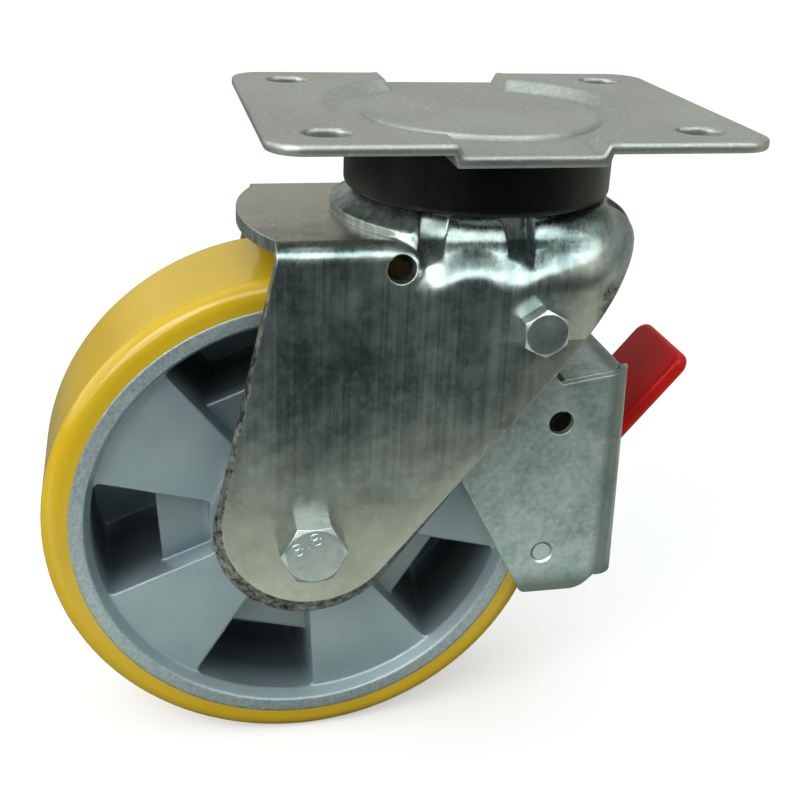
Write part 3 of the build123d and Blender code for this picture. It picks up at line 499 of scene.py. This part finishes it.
def softness(points):
    """How freely each point may move: 1 over the shoulder, falling to 0 at the zone's rim, the hole and the cut."""
    places = (points[:, 0], np.abs(points[:, 1]), points[:, 2])
    x, _, z = places
    rim = np.prod([rise(places[axis], held, free) for axis, held, free in RIM_FADES], axis=0)
    hole = rise(np.hypot(x - HOLE_CENTRE[0], z - HOLE_CENTRE[1]) - HOLE_RADIUS, *HOLE_FADE)
    along = CUT_LINE[1] - CUT_LINE[0]
    inward = np.array([-along[1], along[0]]) / np.hypot(*along)
    cut = rise((x - CUT_LINE[0, 0]) * inward[0] + (z - CUT_LINE[0, 1]) * inward[1], *CUT_FADE)
    return rim * hole * cut


def halve_edges(points, faces):
    """Splits each marked edge of a triangle mesh at its middle; a triangle gives 2, 3 or 4 by how many it has."""
    sides = np.stack([faces, np.roll(faces, -1, axis=1)], axis=2).reshape(-1, 2)
    edges, place = np.unique(np.sort(sides, axis=1), axis=0, return_inverse=True)
    start, end = points[edges].transpose(1, 0, 2)
    along = np.linspace(0.0, 1.0, EDGE_SAMPLES)
    touches = np.any([in_soft_zone(start + (end - start) * t) for t in along], axis=0)
    marked = (np.linalg.norm(end - start, axis=1) > SOFT_STEP) & touches
    new_number = np.cumsum(marked) + len(points) - 1
    mark = marked[place].reshape(-1, 3)
    mid = np.where(marked, new_number, -1)[place].reshape(-1, 3)
    many = mark.sum(axis=1)
    turn = np.where(many == 1, mark.argmax(axis=1), np.where(many == 2, (mark.argmin(axis=1) + 1) % 3, 0))
    order = (turn[:, None] + np.arange(3)) % 3
    a, b, c = np.take_along_axis(faces, order, axis=1).T
    ab, bc, ca = np.take_along_axis(mid, order, axis=1).T
    one, two, three = many == 1, many == 2, many == 3
    pieces = [faces[many == 0]]
    pieces += [np.stack(t, axis=1)[one] for t in ((a, ab, c), (ab, b, c))]
    pieces += [np.stack(t, axis=1)[two] for t in ((a, ab, c), (ab, b, bc), (ab, bc, c))]
    pieces += [np.stack(t, axis=1)[three] for t in ((a, ab, ca), (ab, b, bc), (ca, bc, c), (ab, bc, ca))]
    return np.vstack([points, (start + end)[marked] / 2]), np.vstack(pieces), marked.any()


def soft_shoulder(points, ends):
    """Shoulder as the press leaves it.

    Each point moves towards the mean of its neighbours a few times, so the darts' rims round off. Then it moves
    in along the shoulder's own direction by a broad pull whose foot dips under each dart.
    """
    free = softness(points)[:, None]
    count = np.bincount(ends.ravel(), minlength=len(points))[:, None]
    for _ in range(SOFT_ROUNDS):
        total = np.zeros_like(points)
        for axis in range(3):
            total[:, axis] = np.bincount(ends[:, 0], points[ends[:, 1], axis], len(points))
            total[:, axis] += np.bincount(ends[:, 1], points[ends[:, 0], axis], len(points))
        points = points + free * SOFT_SHARE * (total / count - points)
    x, y, z = points[:, 0], np.abs(points[:, 1]), points[:, 2]
    over = np.maximum(y - (LEG_FACE - SHOULDER_RADIUS), 1e-5)
    up = np.maximum(z - (HEAD_TOP - SHOULDER_RADIUS), 0.0)
    reach = np.hypot(over, up)
    foot = SHOULDER_FOOT - DART_DIP * sum(np.exp(-((x - dart_x) / DART_SPREAD) ** 2) for dart_x in DART_X)
    broad = rise(x, -0.0330, -0.0180) * rise(x, 0.0300, 0.0080)
    broad = broad * rise(z - foot, 0.0, 0.0100) * rise(z, -0.0250, -0.0320)
    shift = -broad * SHOULDER_PULL * free[:, 0]
    points[:, 1] += np.sign(points[:, 1]) * shift * over / reach
    points[:, 2] += shift * up / reach
    return points


def press_fork():
    """The fork with the soft shoulder of a pressed sheet, from a merged copy of its solid."""
    bm = bmesh.new()
    bm.from_mesh(nodes["fork"].data)
    bmesh.ops.remove_doubles(bm, verts=bm.verts[:], dist=MERGE_DISTANCE)
    points = np.array([vert.co for vert in bm.verts])
    faces = np.array([[vert.index for vert in face.verts] for face in bm.faces])
    bm.free()
    for _ in range(HALVING_PASSES):
        points, faces, again = halve_edges(points, faces)
        if not again:
            break
    ends = np.unique(np.sort(np.vstack([faces[:, :2], faces[:, 1:], faces[:, ::2]]), axis=1), axis=0)
    points = soft_shoulder(points, ends)
    mesh = bpy.data.meshes.new("pressed_fork")
    mesh.from_pydata(points, [], faces)
    mesh.shade_smooth()
    mesh.set_sharp_from_angle(angle=PRESSED_CREASE)
    mesh.materials.append(MATERIALS["fork_zinc"])
    piece = bpy.data.objects.new("pressed_fork", mesh)
    bpy.context.scene.collection.objects.link(piece)
    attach(piece, "swivel")
    weighted = piece.modifiers.new("flat_faces", "WEIGHTED_NORMAL")
    weighted.keep_sharp = True
    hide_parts("fork")


# ---------------------------------------------------------------- raised grade mark and thread on the bolts

MARK_RADIUS = 0.00034
AXLE_HEAD_FACE = -0.0455
GRADE_TURN = np.radians(30.2)
GRADE_DIGITS = ((-0.06015, -0.12234), (-0.05475, -0.11920))
GRADE_DOT = (-0.05678, -0.12197)
GRADE_DOT_HALF = 0.0002
GRADE_LOOPS = (  # height of the loop's middle over the figure's, half width, half height
    (0.00095, 0.00120, 0.00090), (-0.00098, 0.00142, 0.00106))
LOOP_POINTS = 28
DOT_POINTS = 9
BEAD_SIDES = 10
BOLT_ENDS = (  # centre x, centre z, shank radius, pitch, first y, last y
    (AXLE_X, AXLE_Z, 0.0060, 0.00175, 0.0512, 0.0545),
    (0.0124, -0.0581, 0.0040, 0.00125, 0.0472, 0.0505))
THREAD_COLUMNS = 64
THREAD_ROWS = 16  # to each turn
THREAD_DEPTH = 0.00040
THREAD_ROOT = 0.0001  # how far the roots lie inside the shank
THREAD_CHAMFER = 0.0006
THREAD_CORE = 0.0012  # how far the hidden inner wall lies inside the shank
END_COVER = 0.00003  # how far the thread stands over the bolt's end
SMALL_CREASE = np.radians(50.0)


def grid_faces(rows, columns, wrap_rows):
    """Quads of a grid whose columns close on themselves, and whose rows do where wrap_rows is set."""
    row = np.arange(rows if wrap_rows else rows - 1)[:, None]
    column = np.arange(columns)[None, :]
    after_row = (row + 1) % rows
    after_column = (column + 1) % columns
    corners = [row * columns + column, after_row * columns + column,
               after_row * columns + after_column, row * columns + after_column]
    return np.stack([np.broadcast_to(c, (len(row), columns)) for c in corners], axis=-1).reshape(-1, 4)


def tube(path, radius, closed):
    """Round bead on a bolt head: a circle carried along a path in the face's plane; open ends shrink to a point.

    Point (i, a) is path_i + r_i (cos a, outwards) + r_i (sin a, sideways), r_i = r sqrt(1 - t^2) at the ends.
    """
    steps = np.roll(path, -1, axis=0) - np.roll(path, 1, axis=0) if closed else np.gradient(path, axis=0)
    tangent = steps / np.linalg.norm(steps, axis=1, keepdims=True)
    outward = np.array([0.0, -1.0, 0.0])
    sideways = np.cross(tangent, outward)
    size = np.full(len(path), radius)
    if not closed:
        along = np.linspace(-1.0, 1.0, len(path))
        size = radius * np.sqrt(np.clip(1.0 - along ** 8, 0.0, 1.0)) + 1e-6
    angle = np.linspace(0.0, 2 * np.pi, BEAD_SIDES, endpoint=False)
    ring = np.cos(angle)[:, None] * outward + np.sin(angle)[:, None] * sideways[:, None, :]
    points = path[:, None, :] + size[:, None, None] * ring
    return points.reshape(-1, 3), grid_faces(len(path), len(angle), closed)


def on_head(x, z, face_y):
    """Points (x, z) laid on a bolt head's face."""
    return np.stack([x, np.full_like(x, face_y), z], axis=1)


def grade_mark():
    """Two figures 8 and a point: each 8 is a small loop above a larger one, turned with the line of the mark."""
    turn = np.linspace(0.0, 2 * np.pi, LOOP_POINTS, endpoint=False)
    cos, sin = np.cos(GRADE_TURN), np.sin(GRADE_TURN)
    beads = []
    for x, z in GRADE_DIGITS:
        for lift, wide, high in GRADE_LOOPS:
            u = wide * np.cos(turn)
            v = lift + high * np.sin(turn)
            loop = on_head(x + u * cos - v * sin, z + u * sin + v * cos, AXLE_HEAD_FACE)
            beads.append(tube(loop, MARK_RADIUS, True))
    across = np.linspace(-GRADE_DOT_HALF, GRADE_DOT_HALF, DOT_POINTS)
    dot = on_head(GRADE_DOT[0] + across, np.full_like(across, GRADE_DOT[1]), AXLE_HEAD_FACE)
    return beads + [tube(dot, MARK_RADIUS, False)]


def bolt_thread(x, z, shank, pitch, first, last):
    """Thread on the end of a bolt, with a chamfered end.

    radius = shank - root + depth * wave * end - chamfer * (1 - end), where wave is the triangle wave of
    y / pitch - angle / turn, and end falls from 1 to 0 over the last 0.6 of a pitch.
    """
    rows = int((last - first) / pitch * THREAD_ROWS)
    y = np.linspace(first, last + END_COVER, rows)[:, None]
    angle = np.linspace(0.0, 2 * np.pi, THREAD_COLUMNS, endpoint=False)[None, :]
    wave = np.abs(((y / pitch - angle / (2 * np.pi)) % 1.0) * 2.0 - 1.0)
    end = np.clip((last - y) / (0.6 * pitch), 0.0, 1.0)
    radius = shank - THREAD_ROOT + THREAD_DEPTH * wave * end - THREAD_CHAMFER * (1.0 - end)
    inside = np.full((1, THREAD_COLUMNS), shank - THREAD_CORE)
    radius = np.vstack([inside, radius, inside])
    y = np.vstack([y[:1], y, y[-1:]]) * np.ones((1, THREAD_COLUMNS))
    points = np.stack([x + radius * np.cos(angle), y, z + radius * np.sin(angle)], axis=-1)
    return points.reshape(-1, 3), grid_faces(rows + 2, THREAD_COLUMNS, True)


def add_piece(name, shells, slot, body):
    """One object from several closed shells, with its faces outwards."""
    bm = bmesh.new()
    for points, faces in shells:
        mesh = bpy.data.meshes.new(name)
        mesh.from_pydata(points.tolist(), [], faces.tolist())
        bm.from_mesh(mesh)
        bpy.data.meshes.remove(mesh)
    bmesh.ops.recalc_face_normals(bm, faces=bm.faces[:])
    mesh = bpy.data.meshes.new(name)
    bm.to_mesh(mesh)
    bm.free()
    mesh.shade_smooth()
    mesh.set_sharp_from_angle(angle=SMALL_CREASE)
    mesh.materials.append(MATERIALS[slot])
    piece = bpy.data.objects.new(name, mesh)
    bpy.context.scene.collection.objects.link(piece)
    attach(piece, body)


# ---------------------------------------------------------------- studio

FLOOR_HALF = 6.0


def add_floor():
    """Table under the wheel whose colour off camera is painted light: a pale pool near the wheel that falls dark
    far from it, painted shade right under the wheel, and a pale olive patch to the front right. The camera sees it
    white, with the soft shadow.
    """
    mesh = bpy.data.meshes.new("floor")
    corners = [(x * FLOOR_HALF, y * FLOOR_HALF, FLOOR_Z) for x, y in ((-1, -1), (1, -1), (1, 1), (-1, 1))]
    mesh.from_pydata(corners, [], [(0, 1, 2, 3)])
    floor = bpy.data.objects.new("floor", mesh)
    f = Finish("floor")
    # Off camera the floor's colour is painted light. It has a pale pool near the part that is dark far off, painted
    # shade under the wheel, and a paler olive patch to the front right.
    near = f.y.step_between(-0.34, -0.13)
    under = f.y.step_between(-0.10, -0.04) * 0.85
    side = f.x.step_between(0.14, 0.24) * f.y.step_between(-0.34, -0.24)
    seen = f.light_path("Is Camera Ray")
    lit = near * near * near * (1.0 - under)
    colour = f.mix(lit, (0.04, 0.05, 0.05), (0.90, 0.91, 0.84))
    colour = f.mix(side * 0.8, colour, (0.66, 0.65, 0.56))
    colour = f.mix(seen, colour, (0.65, 0.65, 0.65))
    mesh.materials.append(f.shade(
        Base_Color=colour, Roughness=0.9, Specular_IOR_Level=0.0,
        Emission_Color=(1.0, 1.0, 1.0, 1.0), Emission_Strength=seen * 0.45))
    bpy.context.scene.collection.objects.link(floor)


def add_lamp(name, place, aim, size, power):
    """Square soft lamp at place that points at aim."""
    data = bpy.data.lights.new(name, "AREA")
    data.shape = "RECTANGLE"
    data.size = data.size_y = size
    data.energy = power
    lamp = bpy.data.objects.new(name, data)
    lamp.location = place
    lamp.rotation_euler = (Vector(aim) - Vector(place)).to_track_quat("-Z", "Y").to_euler()
    bpy.context.scene.collection.objects.link(lamp)


def add_world():
    """Studio round the object: light above, a lit back wall, a side light, a window at the left, dark below.

    A box high in front is brighter in reflections than in plain light.
    """
    world = bpy.data.worlds.new("studio")
    bpy.context.scene.world = world
    world.use_nodes = True
    w = Tree(world.node_tree, "Generated")
    behind = w.y.step_between(0.0, 0.4)
    above = (w.z - behind * 0.14).step_between(0.58, 0.70)
    back = w.y.step_between(0.05, 0.55) * w.z.step_between(-0.1, 0.15)
    right = w.x.step_between(0.40, 0.70) * w.y.step_between(0.4, -0.2)
    window = w.x.step_between(-0.60, -0.72) * w.z.step_between(0.05, 0.12) * w.z.step_between(0.62, 0.55)
    box = w.z.step_between(0.48, 0.58) * w.z.step_between(0.86, 0.80) * w.y.step_between(-0.25, -0.40)
    glossy = w.light_path("Is Glossy Ray")
    lower = back * 0.46 + right * 0.50 + window * 1.7
    level = above * (behind * 0.6 + 0.8) + box * (glossy * 2.9 + 0.8) + (1.0 - above) * lower + 0.065
    seen = w.light_path("Is Camera Ray")
    strength = seen + (1.0 - seen) * level
    tint = w.mix(above, (1.0, 0.98, 0.90), (0.90, 1.0, 0.99))
    background = w.tree.nodes.new("ShaderNodeBackground")
    plug(w.tree, background.inputs["Color"], w.mix(seen, tint, (1.0, 1.0, 1.0)))
    plug(w.tree, background.inputs["Strength"], strength)
    output = w.tree.nodes.new("ShaderNodeOutputWorld")
    w.tree.links.new(background.outputs[0], output.inputs[0])


bpy.context.scene.view_settings.view_transform = "Standard"
add_camera()
add_world()
add_floor()
add_lamp("key", (-0.40, -0.36, 0.20), (-0.10, 0.0, -0.08), 0.34, 1.5)
add_lamp("fill", (0.9, -0.9, 0.5), (-0.02, 0.0, -0.10), 0.8, 1.1)
dress_nodes()
press_fork()
add_piece("axle_bolt_grade", grade_mark(), "bolt_zinc", "swivel")
add_piece("bolt_threads", [bolt_thread(*end) for end in BOLT_ENDS], "bolt_zinc", "swivel")
